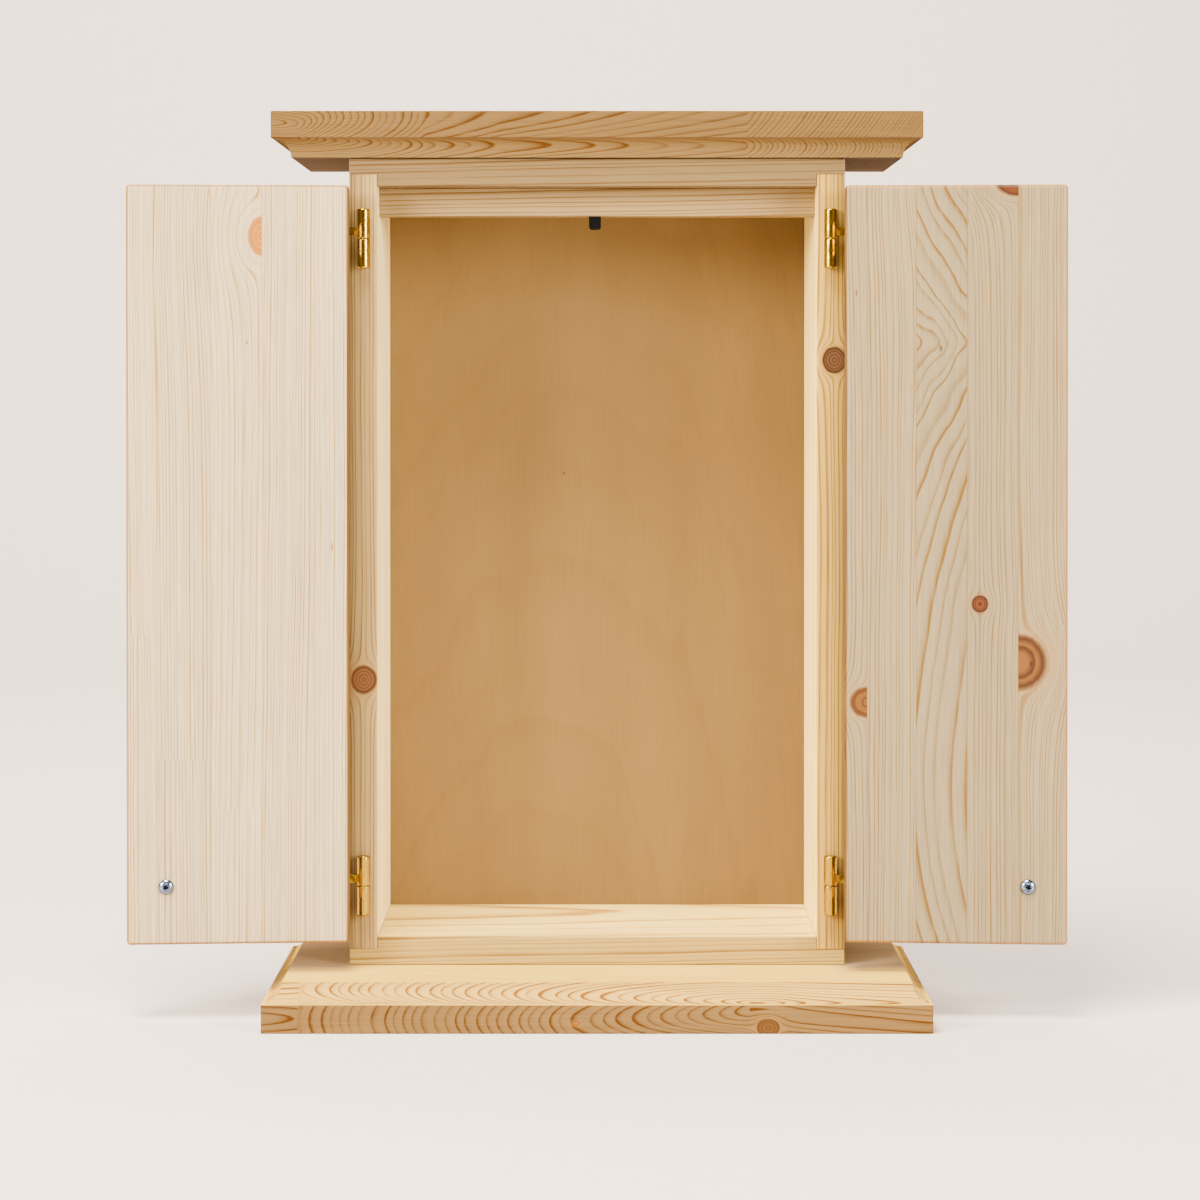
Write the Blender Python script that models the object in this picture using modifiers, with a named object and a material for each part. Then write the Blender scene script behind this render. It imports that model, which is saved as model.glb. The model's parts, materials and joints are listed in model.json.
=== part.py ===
"""Household altar cabinet of pine, with two inset doors standing open.

A low case of rebated boards with a thin plywood back stands between a base board and a
top board, both with a cove along the front and the ends. Two slab doors swing on brass
barrel hinges. Units are metres and +Z is up. The cabinet faces -Y, and the origin is at
the centre of the base board's underside.
"""

import math

import bmesh
import bpy
from mathutils import Matrix, Vector

# Fits
GAP = 0.0003
DOOR_CLEARANCE = 0.001
KNUCKLE_CLEARANCE = 0.0003

# Case
CASE_WIDTH = 0.320
CASE_HEIGHT = 0.521
CASE_DEPTH = 0.130
CASE_BOARD = 0.018
LAP_TONGUE = 0.010
CASE_ARRIS = 0.0006

# Back panel
BACK_THICKNESS = 0.004
BACK_LAP = 0.009
BACK_INSET = 0.0015

# Base board and top board
BASE_WIDTH = 0.420
BASE_FASCIA = 0.018
BASE_COVE = 0.012
BASE_PROJECTION = 0.070
TOP_WIDTH = 0.418
TOP_FASCIA = 0.017
TOP_COVE = 0.012
TOP_PROJECTION = 0.016
BACK_OVERHANG = 0.004
BOARD_ARRIS = 0.0008
COVE_SEGMENTS = 48

# Door stop rail and catch
RAIL_HEIGHT = 0.018
RAIL_THICKNESS = 0.018
RAIL_BEHIND_DOOR = 0.002
CATCH_WIDTH = 0.0078
CATCH_DROP = 0.0078
CATCH_DEPTH = 0.016
CATCH_OFF_CENTRE = -0.0014
CATCH_CHAMFER = 0.0012
CATCH_RIM = 0.0012
CATCH_RECESS = 0.0004

# Doors
DOOR_THICKNESS = 0.018
DOOR_ROUNDING = 0.0025
DOOR_ROUNDING_SEGMENTS = 4
DOOR_OPEN_ANGLE = math.radians(176.0)

# Hinges
BARREL_RADIUS = 0.00385
BARREL_STANDOFF = 0.00065
HINGE_LENGTH = 0.0384
KNUCKLE_LENGTH = 0.0091
HINGE_FROM_DOOR_END = 0.033
HINGE_AXIS_IN_BOARD = 0.0085
LEAF_HEIGHT = 0.0188
LEAF_THICKNESS = 0.0012
DOOR_LEAF_DEPTH = 0.0145
CASE_LEAF_WIDTH = 0.0068
STRAP_HEIGHT = 0.0052
NECK_WIDTH = 0.0024
PIN_RADIUS = 0.0014
PIN_LENGTH = 0.012
DOME_HEIGHT = 0.0011
GROOVE_DEPTH = 0.0004
BARREL_STEPS = 20

# Pull knobs and their screws
KNOB_FROM_FREE_EDGE = 0.025
KNOB_ABOVE_DOOR_FOOT = 0.037
KNOB_RADIUS = 0.0095
KNOB_NECK_RADIUS = 0.0055
KNOB_FOOT_RADIUS = 0.0070
KNOB_LENGTH = 0.019
SCREW_HEAD_RADIUS = 0.0049
SCREW_HEAD_HEIGHT = 0.0023
SCREW_SHANK_RADIUS = 0.0020
SCREW_IN_KNOB = 0.010
RECESS_LENGTH = 0.0052
RECESS_WIDTH = 0.0011
RECESS_DEPTH = 0.0015
TURNED_STEPS = 24

# Levels and planes that follow from the sizes above
BASE_DEPTH = BASE_PROJECTION + CASE_DEPTH + BACK_OVERHANG
TOP_DEPTH = TOP_PROJECTION + CASE_DEPTH + BACK_OVERHANG
FRONT = BASE_PROJECTION - BASE_DEPTH / 2
BACK = FRONT + CASE_DEPTH
CASE_FOOT = BASE_FASCIA + BASE_COVE + GAP
CASE_HEAD = CASE_FOOT + CASE_HEIGHT
FLOOR = CASE_FOOT + CASE_BOARD
CEILING = CASE_HEAD - CASE_BOARD
HALF_CASE = CASE_WIDTH / 2
HALF_OPENING = HALF_CASE - CASE_BOARD
BACK_FACE = BACK - BACK_INSET - BACK_THICKNESS
RAIL_FRONT = FRONT + DOOR_THICKNESS + RAIL_BEHIND_DOOR
DOOR_FOOT = FLOOR + DOOR_CLEARANCE
DOOR_HEAD = CEILING - DOOR_CLEARANCE
DOOR_WIDTH = HALF_OPENING - 1.5 * DOOR_CLEARANCE

# Hinge geometry, measured from the axis: "in" is towards the middle of the closed
# cabinet and "behind" is towards its back
AXIS_TO_FRONT = BARREL_RADIUS + BARREL_STANDOFF
AXIS_X = HALF_OPENING + HINGE_AXIS_IN_BOARD
AXIS_Y = FRONT - AXIS_TO_FRONT
DOOR_EDGE_IN = HINGE_AXIS_IN_BOARD + DOOR_CLEARANCE
DOOR_BACK_BEHIND = AXIS_TO_FRONT + DOOR_THICKNESS
HINGE_HEIGHTS = {
    "lower": DOOR_FOOT + HINGE_FROM_DOOR_END,
    "upper": DOOR_HEAD - HINGE_FROM_DOOR_END,
}
SIDES = {"left": -1, "right": 1}

# Colours
PINE = "D9BE93"
DOOR_PINE = "E0CFB4"
BOARD_PINE = "D4A66A"
PLYWOOD = "C29B64"
BRASS = "D9A53A"
ZINC = "AEB4BE"
BLACK_PLASTIC = "151413"


def clear_scene():
    """Remove what the file holds, so that the model starts from nothing."""
    for obj in list(bpy.data.objects):
        bpy.data.objects.remove(obj)
    for group in list(bpy.data.collections):
        bpy.data.collections.remove(group)


def make_collection(name):
    group = bpy.data.collections.new(name)
    bpy.context.scene.collection.children.link(group)
    return group


def linear(channel):
    if channel <= 0.04045:
        return channel / 12.92
    return ((channel + 0.055) / 1.055) ** 2.4


def add_material(obj, colour, roughness, metallic=0.0):
    """Give the object its own Principled material, from an sRGB hex colour."""
    finish = bpy.data.materials.new(obj.name + " finish")
    finish.use_nodes = True
    shader = finish.node_tree.nodes["Principled BSDF"]
    channels = [linear(int(colour[i:i + 2], 16) / 255) for i in (0, 2, 4)]
    shader.inputs["Base Color"].default_value = (*channels, 1.0)
    shader.inputs["Roughness"].default_value = roughness
    shader.inputs["Metallic"].default_value = metallic
    obj.data.materials.append(finish)


def new_object(name, mesh, group, location, parent=None, rotation=(0.0, 0.0, 0.0)):
    obj = bpy.data.objects.new(name, mesh)
    group.objects.link(obj)
    obj.parent = parent
    obj.location = location
    obj.rotation_euler = rotation
    return obj


def block(name, group, x, y, z, parent=None, arrises=(), radius=0.0, segments=2,
          rotation=(0.0, 0.0, 0.0)):
    """A box between the given pairs of coordinates.

    Each arris to be rounded is named by the direction from the box's centre to the
    middle of that edge, such as (1, -1, 0) for the upright edge at +X and -Y.
    """
    spans = [sorted(pair) for pair in (x, y, z)]
    size = Vector([high - low for low, high in spans])
    centre = Vector([(high + low) / 2 for low, high in spans])
    mesh = bpy.data.meshes.new(name)
    bm = bmesh.new()
    bmesh.ops.create_cube(bm, size=1.0, matrix=Matrix.Diagonal((*size, 1.0)))
    if arrises:
        chosen = []
        for edge in bm.edges:
            middle = (edge.verts[0].co + edge.verts[1].co) / 2
            place = tuple(round(2 * middle[i] / size[i]) for i in range(3))
            if place in arrises:
                chosen.append(edge)
        bmesh.ops.bevel(
            bm, geom=chosen, offset=radius, offset_type="OFFSET", segments=segments,
            profile=0.5, affect="EDGES", material=-1,
        )
    bm.to_mesh(mesh)
    bm.free()
    return new_object(name, mesh, group, centre, parent, rotation)


def rod(name, group, radius, length, location, rotation, segments, parent=None):
    """A cylinder along its own Z axis, used to cut holes and coves."""
    mesh = bpy.data.meshes.new(name)
    bm = bmesh.new()
    bmesh.ops.create_cone(
        bm, cap_ends=True, segments=segments, radius1=radius, radius2=radius,
        depth=length,
    )
    bm.to_mesh(mesh)
    bm.free()
    return new_object(name, mesh, group, location, parent, rotation)


def turned(name, group, profile, steps, location, parent=None, rotation=(0.0, 0.0, 0.0)):
    """A turned piece: its profile, from the top down the outer side, with a Screw."""
    mesh = bpy.data.meshes.new(name)
    bm = bmesh.new()
    verts = [bm.verts.new((radius, 0.0, height)) for radius, height in profile]
    for upper, lower in zip(verts, verts[1:]):
        bm.edges.new((upper, lower))
    bm.to_mesh(mesh)
    bm.free()
    obj = new_object(name, mesh, group, location, parent, rotation)
    screw = obj.modifiers.new("Turn", "SCREW")
    screw.axis = "Z"
    screw.angle = math.tau
    screw.steps = steps
    screw.render_steps = steps
    screw.use_merge_vertices = True
    screw.merge_threshold = 0.00001
    screw.use_smooth_shade = True
    return obj


def combine(target, tool, operation="DIFFERENCE"):
    """Cut the tool from the target, or join it on, with an exact Boolean."""
    tool.hide_render = True
    tool.display_type = "WIRE"
    step = target.modifiers.new(tool.name, "BOOLEAN")
    step.operation = operation
    step.solver = "EXACT"
    step.object = tool


def moulded_board(name, group, cutters, width, projection, depth, foot, fascia, cove,
                  coved_edge):
    """A thick board with a cove along its front and both ends.

    coved_edge is 1 where the cove runs along the upper edge, -1 where it runs below.
    """
    head = foot + fascia + cove
    front = FRONT - projection
    plain_edge = -coved_edge
    arrises = [(1, -1, 0), (-1, -1, 0), (0, -1, plain_edge), (0, 1, plain_edge),
               (1, 0, plain_edge), (-1, 0, plain_edge), (1, 1, 0), (-1, 1, 0)]
    board = block(
        name, group, (-width / 2, width / 2), (front, front + depth), (foot, head),
        arrises=arrises, radius=BOARD_ARRIS,
    )
    level = head if coved_edge > 0 else foot
    across = (0.0, math.pi / 2, 0.0)
    inward = (math.pi / 2, 0.0, 0.0)
    middle = front + depth / 2
    runs = {
        "front": ((0.0, front, level), across, 2 * width),
        "left_end": ((-width / 2, middle, level), inward, 2 * depth),
        "right_end": ((width / 2, middle, level), inward, 2 * depth),
    }
    for edge, (location, rotation, length) in runs.items():
        tool = rod(
            f"{name}_{edge}_cove", cutters, cove, length, location, rotation,
            COVE_SEGMENTS,
        )
        combine(board, tool)
    add_material(board, BOARD_PINE, 0.5)
    return board


def case_boards(group, cutters):
    """The four boards of the case, lapped at the corners and rebated for the back."""
    rebate = block(
        "back_rebate", cutters,
        (-HALF_OPENING - BACK_LAP - GAP, HALF_OPENING + BACK_LAP + GAP),
        (BACK_FACE - GAP, BACK + CASE_BOARD),
        (FLOOR - BACK_LAP - GAP, CEILING + BACK_LAP + GAP),
    )
    sides = {}
    for side, sign in SIDES.items():
        board = block(
            f"case_{side}_side", group,
            (sign * HALF_OPENING, sign * HALF_CASE), (FRONT, BACK),
            (CASE_FOOT + LAP_TONGUE + GAP, CASE_HEAD - LAP_TONGUE - GAP),
            arrises=[(1, -1, 0), (-1, -1, 0), (sign, 1, 0)], radius=CASE_ARRIS,
        )
        combine(board, rebate)
        add_material(board, PINE, 0.5)
        sides[side] = board
    levels = {
        "case_bottom_panel": (CASE_FOOT, FLOOR, 1),
        "case_top_panel": (CEILING, CASE_HEAD, -1),
    }
    for name, (foot, head, inner) in levels.items():
        panel = block(
            name, group, (-HALF_CASE, HALF_CASE), (FRONT, BACK), (foot, head),
            arrises=[(0, -1, 1), (0, -1, -1), (1, -1, 0), (-1, -1, 0), (1, 1, 0),
                     (-1, 1, 0)],
            radius=CASE_ARRIS,
        )
        tongue = foot + LAP_TONGUE if inner > 0 else head - LAP_TONGUE
        for side, sign in SIDES.items():
            lap = block(
                f"{name}_{side}_lap", cutters,
                (sign * (HALF_OPENING - GAP), sign * (HALF_CASE + CASE_BOARD)),
                (FRONT - CASE_BOARD, BACK + CASE_BOARD),
                (tongue, tongue + inner * CASE_BOARD),
            )
            combine(panel, lap)
        combine(panel, rebate)
        add_material(panel, PINE, 0.5)
    return sides


def back_panel(group):
    panel = block(
        "back_panel", group,
        (-HALF_OPENING - BACK_LAP, HALF_OPENING + BACK_LAP),
        (BACK_FACE, BACK_FACE + BACK_THICKNESS),
        (FLOOR - BACK_LAP, CEILING + BACK_LAP),
    )
    add_material(panel, PLYWOOD, 0.55)


def stop_rail_and_catch(group, cutters):
    """The rail that the closed doors meet, and the magnetic catch under it."""
    rail_foot = CEILING - GAP - RAIL_HEIGHT
    rail = block(
        "door_stop_rail", group, (-HALF_OPENING + GAP, HALF_OPENING - GAP),
        (RAIL_FRONT, RAIL_FRONT + RAIL_THICKNESS), (rail_foot, CEILING - GAP),
        arrises=[(0, -1, -1), (0, 1, -1)], radius=CASE_ARRIS,
    )
    add_material(rail, PINE, 0.5)
    half = CATCH_WIDTH / 2
    top = rail_foot - GAP
    catch = block(
        "magnetic_catch", group, (CATCH_OFF_CENTRE - half, CATCH_OFF_CENTRE + half),
        (RAIL_FRONT, RAIL_FRONT + CATCH_DEPTH), (top - CATCH_DROP, top),
        arrises=[(1, 0, -1), (-1, 0, -1)], radius=CATCH_CHAMFER, segments=1,
    )
    face = block(
        "catch_face_recess", cutters,
        (CATCH_OFF_CENTRE - half + CATCH_RIM, CATCH_OFF_CENTRE + half - CATCH_RIM),
        (RAIL_FRONT - CATCH_RIM, RAIL_FRONT + CATCH_RECESS),
        (top - CATCH_DROP + CATCH_RIM, top - CATCH_RIM),
    )
    combine(catch, face)
    add_material(catch, BLACK_PLASTIC, 0.45)


def hinge_barrel_end():
    """Outline of one half of a hinge barrel, from its seam to its domed end."""
    radius = BARREL_RADIUS
    half = HINGE_LENGTH / 2
    seam = KNUCKLE_CLEARANCE / 2
    outline = [(radius - GROOVE_DEPTH, seam), (radius, seam + GROOVE_DEPTH)]
    for inset, offset in ((0.0, -GROOVE_DEPTH), (GROOVE_DEPTH, 0.0), (0.0, GROOVE_DEPTH)):
        outline.append((radius - inset, KNUCKLE_LENGTH + offset))
    for step in range(4):
        angle = step * math.pi / 6
        height = half - DOME_HEIGHT * (1 - math.sin(angle))
        outline.append((radius * math.cos(angle), height))
    outline[-1] = (0.0, half)
    return outline


def hinge_halves(side, level, axis, group, cutters, side_board, door):
    """One barrel hinge: a case half with the pin, and a door half that turns on it."""
    sign = SIDES[side]
    middle = HINGE_HEIGHTS[level]
    name = f"{side}_{level}_hinge"
    outline = hinge_barrel_end()
    seam = KNUCKLE_CLEARANCE / 2
    half_leaf = LEAF_HEIGHT / 2

    # The case half: lower knuckle, pin, and a leaf let into the side board's front edge
    profile = [(0.0, PIN_LENGTH), (PIN_RADIUS, PIN_LENGTH), (PIN_RADIUS, -seam)]
    profile += [(radius, -height) for radius, height in outline]
    centre = Vector((sign * AXIS_X, AXIS_Y, middle))
    case_half = turned(f"{name}_case_half", group, profile, BARREL_STEPS, centre)
    neck = block(
        f"{name}_neck", cutters,
        (centre.x - NECK_WIDTH / 2, centre.x + NECK_WIDTH / 2),
        (centre.y + PIN_RADIUS, FRONT + LEAF_THICKNESS / 2),
        (middle - KNUCKLE_LENGTH + NECK_WIDTH, middle - NECK_WIDTH / 2),
    )
    leaf = block(
        f"{name}_case_leaf", cutters,
        (centre.x - CASE_LEAF_WIDTH / 2, centre.x + CASE_LEAF_WIDTH / 2),
        (FRONT, FRONT + LEAF_THICKNESS), (middle - half_leaf, middle + half_leaf),
    )
    combine(case_half, neck, "UNION")
    combine(case_half, leaf, "UNION")
    add_material(case_half, BRASS, 0.2, metallic=1.0)
    mortise = block(
        f"{name}_case_mortise", cutters,
        (centre.x - CASE_LEAF_WIDTH / 2 - GAP, centre.x + CASE_LEAF_WIDTH / 2 + GAP),
        (FRONT - LEAF_THICKNESS, FRONT + LEAF_THICKNESS + GAP),
        (middle - half_leaf - GAP, middle + half_leaf + GAP),
    )
    combine(side_board, mortise)

    # The door half, in the closed door's place: x is inward from the axis, y is behind it
    inward = -sign
    bore = PIN_RADIUS + KNUCKLE_CLEARANCE
    bore_top = PIN_LENGTH + KNUCKLE_CLEARANCE
    profile = list(reversed(outline))
    profile += [(bore, seam), (bore, bore_top), (0.0, bore_top)]
    door_half = turned(
        f"{name}_door_half", group, profile, BARREL_STEPS, (0.0, 0.0, middle), axis,
    )
    strap_back = AXIS_TO_FRONT - GAP
    strap_front = strap_back - LEAF_THICKNESS
    leaf_far = DOOR_EDGE_IN + LEAF_THICKNESS
    strap_foot = middle + (KNUCKLE_LENGTH - STRAP_HEIGHT) / 2
    strap_heights = (strap_foot, strap_foot + STRAP_HEIGHT)
    leaf_heights = (middle - half_leaf, middle + half_leaf)
    leaf_start = AXIS_TO_FRONT + GAP
    leaf_end = leaf_start + DOOR_LEAF_DEPTH
    strap = block(
        f"{name}_strap", cutters, (0.0, inward * leaf_far), (strap_front, strap_back),
        strap_heights, axis,
    )
    lug = block(
        f"{name}_lug", cutters, (inward * DOOR_EDGE_IN, inward * leaf_far),
        (strap_front, leaf_start + LEAF_THICKNESS), strap_heights, axis,
    )
    leaf = block(
        f"{name}_door_leaf", cutters, (inward * DOOR_EDGE_IN, inward * leaf_far),
        (leaf_start, leaf_end), leaf_heights, axis,
    )
    for piece in (strap, lug, leaf):
        combine(door_half, piece, "UNION")
    add_material(door_half, BRASS, 0.2, metallic=1.0)
    mortise = block(
        f"{name}_door_mortise", cutters,
        (inward * (DOOR_EDGE_IN - LEAF_THICKNESS), inward * (leaf_far + GAP)),
        (strap_front, leaf_end + GAP),
        (leaf_heights[0] - GAP, leaf_heights[1] + GAP), axis,
    )
    combine(door, mortise)


def knob_and_screw(side, axis, group, cutters, door):
    """The pull knob on the door's outer face, and the screw that holds it from inside."""
    inward = -SIDES[side]
    across = inward * (DOOR_EDGE_IN + DOOR_WIDTH - KNOB_FROM_FREE_EDGE)
    height = DOOR_FOOT + KNOB_ABOVE_DOOR_FOOT
    towards_back = (-math.pi / 2, 0.0, 0.0)
    towards_front = (math.pi / 2, 0.0, 0.0)

    head_seat = DOOR_BACK_BEHIND + GAP
    shank = head_seat - (AXIS_TO_FRONT - GAP) + SCREW_IN_KNOB
    profile = []
    for step in range(5):
        angle = (90 - 20 * step) * math.pi / 180
        profile.append((
            SCREW_HEAD_RADIUS * math.cos(angle), SCREW_HEAD_HEIGHT * math.sin(angle),
        ))
    profile[0] = (0.0, SCREW_HEAD_HEIGHT)
    profile += [
        (SCREW_HEAD_RADIUS, 0.0), (SCREW_SHANK_RADIUS, 0.0),
        (SCREW_SHANK_RADIUS, -shank), (0.0, -shank),
    ]
    screw = turned(
        f"{side}_knob_screw", group, profile, TURNED_STEPS,
        (across, head_seat, height), axis, towards_back,
    )
    crown = head_seat + SCREW_HEAD_HEIGHT
    for bar, (wide, tall) in enumerate((
        (RECESS_LENGTH, RECESS_WIDTH), (RECESS_WIDTH, RECESS_LENGTH),
    )):
        slot = block(
            f"{side}_screw_recess_{bar}", cutters,
            (across - wide / 2, across + wide / 2),
            (crown - RECESS_DEPTH, crown + RECESS_DEPTH),
            (height - tall / 2, height + tall / 2), axis,
        )
        combine(screw, slot)
    add_material(screw, ZINC, 0.3, metallic=1.0)

    bore = SCREW_SHANK_RADIUS + GAP
    bore_depth = SCREW_IN_KNOB + GAP
    shoulder = KNOB_LENGTH - KNOB_RADIUS * 0.75
    profile = []
    for step in range(7):
        angle = (90 - 20 * step) * math.pi / 180
        profile.append((
            KNOB_RADIUS * math.cos(angle),
            shoulder + (KNOB_LENGTH - shoulder) * math.sin(angle),
        ))
    profile[0] = (0.0, KNOB_LENGTH)
    profile += [
        (KNOB_NECK_RADIUS, shoulder * 0.45), (KNOB_NECK_RADIUS, shoulder * 0.25),
        (KNOB_FOOT_RADIUS, 0.0), (bore, 0.0), (bore, bore_depth), (0.0, bore_depth),
    ]
    knob = turned(
        f"{side}_pull_knob", group, profile, TURNED_STEPS,
        (across, AXIS_TO_FRONT - GAP, height), axis, towards_front,
    )
    add_material(knob, BOARD_PINE, 0.45)

    hole = rod(
        f"{side}_screw_hole", cutters, bore, 2 * DOOR_THICKNESS,
        (across, AXIS_TO_FRONT + DOOR_THICKNESS / 2, height), towards_back,
        TURNED_STEPS, axis,
    )
    combine(door, hole)


def door_with_hinges(side, group, cutters, side_board):
    """A door on an empty that stands on its hinge axis, turned open by the empty."""
    sign = SIDES[side]
    inward = -sign
    axis = bpy.data.objects.new(f"{side}_door_axis", None)
    group.objects.link(axis)
    axis.location = (sign * AXIS_X, AXIS_Y, 0.0)
    axis.rotation_euler = (0.0, 0.0, sign * DOOR_OPEN_ANGLE)
    everywhere = [
        (x, y, z) for x in (-1, 0, 1) for y in (-1, 0, 1) for z in (-1, 0, 1)
        if abs(x) + abs(y) + abs(z) == 2
    ]
    door = block(
        f"{side}_door", group,
        (inward * DOOR_EDGE_IN, inward * (DOOR_EDGE_IN + DOOR_WIDTH)),
        (AXIS_TO_FRONT, DOOR_BACK_BEHIND), (DOOR_FOOT, DOOR_HEAD), axis,
        arrises=everywhere, radius=DOOR_ROUNDING, segments=DOOR_ROUNDING_SEGMENTS,
    )
    for level in HINGE_HEIGHTS:
        hinge_halves(side, level, axis, group, cutters, side_board, door)
    knob_and_screw(side, axis, group, cutters, door)
    add_material(door, DOOR_PINE, 0.5)


def main():
    clear_scene()
    cabinet = make_collection("household_altar_cabinet")
    cutters = make_collection("cutters")
    moulded_board(
        "base_board", cabinet, cutters, BASE_WIDTH, BASE_PROJECTION, BASE_DEPTH, 0.0,
        BASE_FASCIA, BASE_COVE, coved_edge=1,
    )
    moulded_board(
        "top_board", cabinet, cutters, TOP_WIDTH, TOP_PROJECTION, TOP_DEPTH,
        CASE_HEAD + GAP, TOP_FASCIA, TOP_COVE, coved_edge=-1,
    )
    sides = case_boards(cabinet, cutters)
    back_panel(cabinet)
    stop_rail_and_catch(cabinet, cutters)
    for side in SIDES:
        door_with_hinges(side, cabinet, cutters, sides[side])


main()
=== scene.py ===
"""The looks of the household altar cabinet: pine boards, plywood back, brass hinges.

Lengths in the model are metres. Patterns in the materials are worked out in millimetres
of the real object, on Object coordinates, so the grain runs through each board.
"""

import json
import math

import bmesh
import bpy
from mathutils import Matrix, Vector


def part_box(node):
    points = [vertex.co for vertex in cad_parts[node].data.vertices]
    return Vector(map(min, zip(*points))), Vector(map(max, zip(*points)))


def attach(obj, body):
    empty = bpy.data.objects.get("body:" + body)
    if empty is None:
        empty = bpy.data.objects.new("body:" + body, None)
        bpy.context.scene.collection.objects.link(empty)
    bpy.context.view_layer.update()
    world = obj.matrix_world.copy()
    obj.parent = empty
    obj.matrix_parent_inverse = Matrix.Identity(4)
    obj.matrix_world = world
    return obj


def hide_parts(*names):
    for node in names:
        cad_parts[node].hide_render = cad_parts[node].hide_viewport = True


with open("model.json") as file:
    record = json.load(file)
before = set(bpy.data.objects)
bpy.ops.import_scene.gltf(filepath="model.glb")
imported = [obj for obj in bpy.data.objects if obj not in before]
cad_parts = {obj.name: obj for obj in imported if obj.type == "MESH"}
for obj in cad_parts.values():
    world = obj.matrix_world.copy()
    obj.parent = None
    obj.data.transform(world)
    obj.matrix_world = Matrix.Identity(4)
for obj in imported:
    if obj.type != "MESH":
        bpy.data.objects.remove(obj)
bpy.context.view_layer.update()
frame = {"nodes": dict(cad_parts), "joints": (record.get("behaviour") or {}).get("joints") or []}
NODES = frame["nodes"]
JOINTS = {joint["child"]: joint for joint in frame["joints"]}
SIDES = {"left": -1, "right": 1}
LEVELS = ("lower", "upper")

# The camera: a long lens above the middle, looking almost level
CAMERA_DISTANCE = 2.0
CAMERA_HEIGHT = 0.4059
CAMERA_ASIDE = 0.0019
CAMERA_PITCH = math.radians(0.5)
FOCAL_PIXELS = 3098.0
FRAME_PIXELS = 1200.0
SENSOR_WIDTH = 36.0
HORIZON_ROW = 383.7

# The hinge barrels, slightly larger than the faceted solids that they cover: the seam
# lies halfway up, with a turned groove above and below it
BARREL = 0.00425
HINGE_HALF = 0.0192
SEAM = 0.00018
LIP = 0.0005
GROOVE_AT = 0.0091
GROOVE = 0.0004
DOME = 0.0011
CROWN = 0.00005
BARREL_STEPS = 48

# The link from barrel to door, this far from the axis and in front of it, is drawn back
# into the barrel's side
KNUCKLE = 0.004
STRAP_IN_FRONT = 0.0025
STRAP_BACK = 0.0022

# The doors' hinge edges and the leaves in them stand nearer the case than the solids do
CASE_EDGE = 0.16
DOOR_HINGE_EDGE = 0.1625
CLOSER_TO_CASE = 0.0007

# The paper sweep: flat from its near edge to its start, then curved up into a wall
FLOOR_NEAR = -6.0
FLOOR_HALF_WIDTH = 7.0
SWEEP_START = 2.4
SWEEP_RADIUS = 1.2
WALL_TOP = 7.0

# Where noise mostly lies between its darkest and its lightest
USUAL = (0.3, 0.7)

# Colours: wood as a pale and a line colour, a knot or the paper as light and dark
PALETTE = {
    "left door": ("A29070", "81611E"),
    "right door": ("796A4D", "5F4415"),
    "left front edge": ("947A48", "65481E"),
    "right front edge": ("A98637", "735013"),
    # The sides' inner faces: paler partly as face grain, partly as painted light
    "left inner face": ("F0DF9D", "AD8440"),
    "right inner face": ("FBDA77", "B5802F"),
    "outer face": ("A68C60", "7C5C30"),
    "case top": ("6A5633", "4D3313"),
    "stop rail": ("846D45", "5E4219"),
    "case bottom": ("9A7F3D", "704F18"),
    # The case bottom's inner floor: paler partly as face grain, partly as painted light from
    # above
    "inner floor": ("E1C15E", "A27023"),
    "plywood": ("70572F", "634822"),
    "base fascia": ("674E2B", "46290C"),
    # The base board's cove and top: paler than its fascia partly as grain, partly as painted
    # light from above
    "base cove": ("AE8A40", "6A420E"),
    "base top": ("C5A03B", "AD8029"),
    # Painted shadow of the open doors on the base board's top
    "painted door shadow": ("8A7050", "6A5234"),
    "top fascia": ("594324", "3D250C"),
    # The top board's cove: paler than its fascia partly as cut grain, partly as painted light
    "top cove": ("6C5530", "4D3012"),
    # Painted shade on the top board's underside
    "painted underside shade": ("5E4F42", "413413"),
    "left door half knot": ("96601C", "7A480E"),
    "quarter knot": ("4E2812", "2A1206"),
    "right door half knot": ("5C3A14", "32180A"),
    "small knot": ("522A0C", "240D07"),
    "spike knot": ("5C3910", "3C1E07"),
    "left edge knot": ("653F1D", "3D2007"),
    "right edge knot": ("50341C", "281207"),
    "base knot": ("54371A", "3F2511"),
    "base pin knot": ("80501F", "44240F"),
    "turned knob": ("A67C42", "704A20"),
    # Painted shade on the doors' hinge-side edges, for the dark gap beside the case
    "painted gap shade": ("5A3E1C", "3A2410"),
    "door arris": ("86622F", "68461E"),
    "paper": ("CDBEB4", "D0C1B7"),
}


def linear(colour):
    """A hex sRGB colour as a linear RGBA value."""
    channels = []
    for start in (0, 2, 4):
        value = int(colour[start:start + 2], 16) / 255
        if value <= 0.04045:
            channels.append(value / 12.92)
        else:
            channels.append(((value + 0.055) / 1.055) ** 2.4)
    return (*channels, 1.0)


def put(tree, kind, inputs=(), out=0, **settings):
    """Add a shader node. Inputs are links or values, by order or by name."""
    made = tree.nodes.new("ShaderNode" + kind)
    for name, value in settings.items():
        setattr(made, name, value)
    pairs = inputs.items() if isinstance(inputs, dict) else enumerate(inputs)
    for key, value in pairs:
        socket = made.inputs[key]
        if isinstance(value, bpy.types.NodeSocket):
            tree.links.new(value, socket)
        else:
            socket.default_value = value
    return made.outputs if out is None else made.outputs[out]


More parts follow.
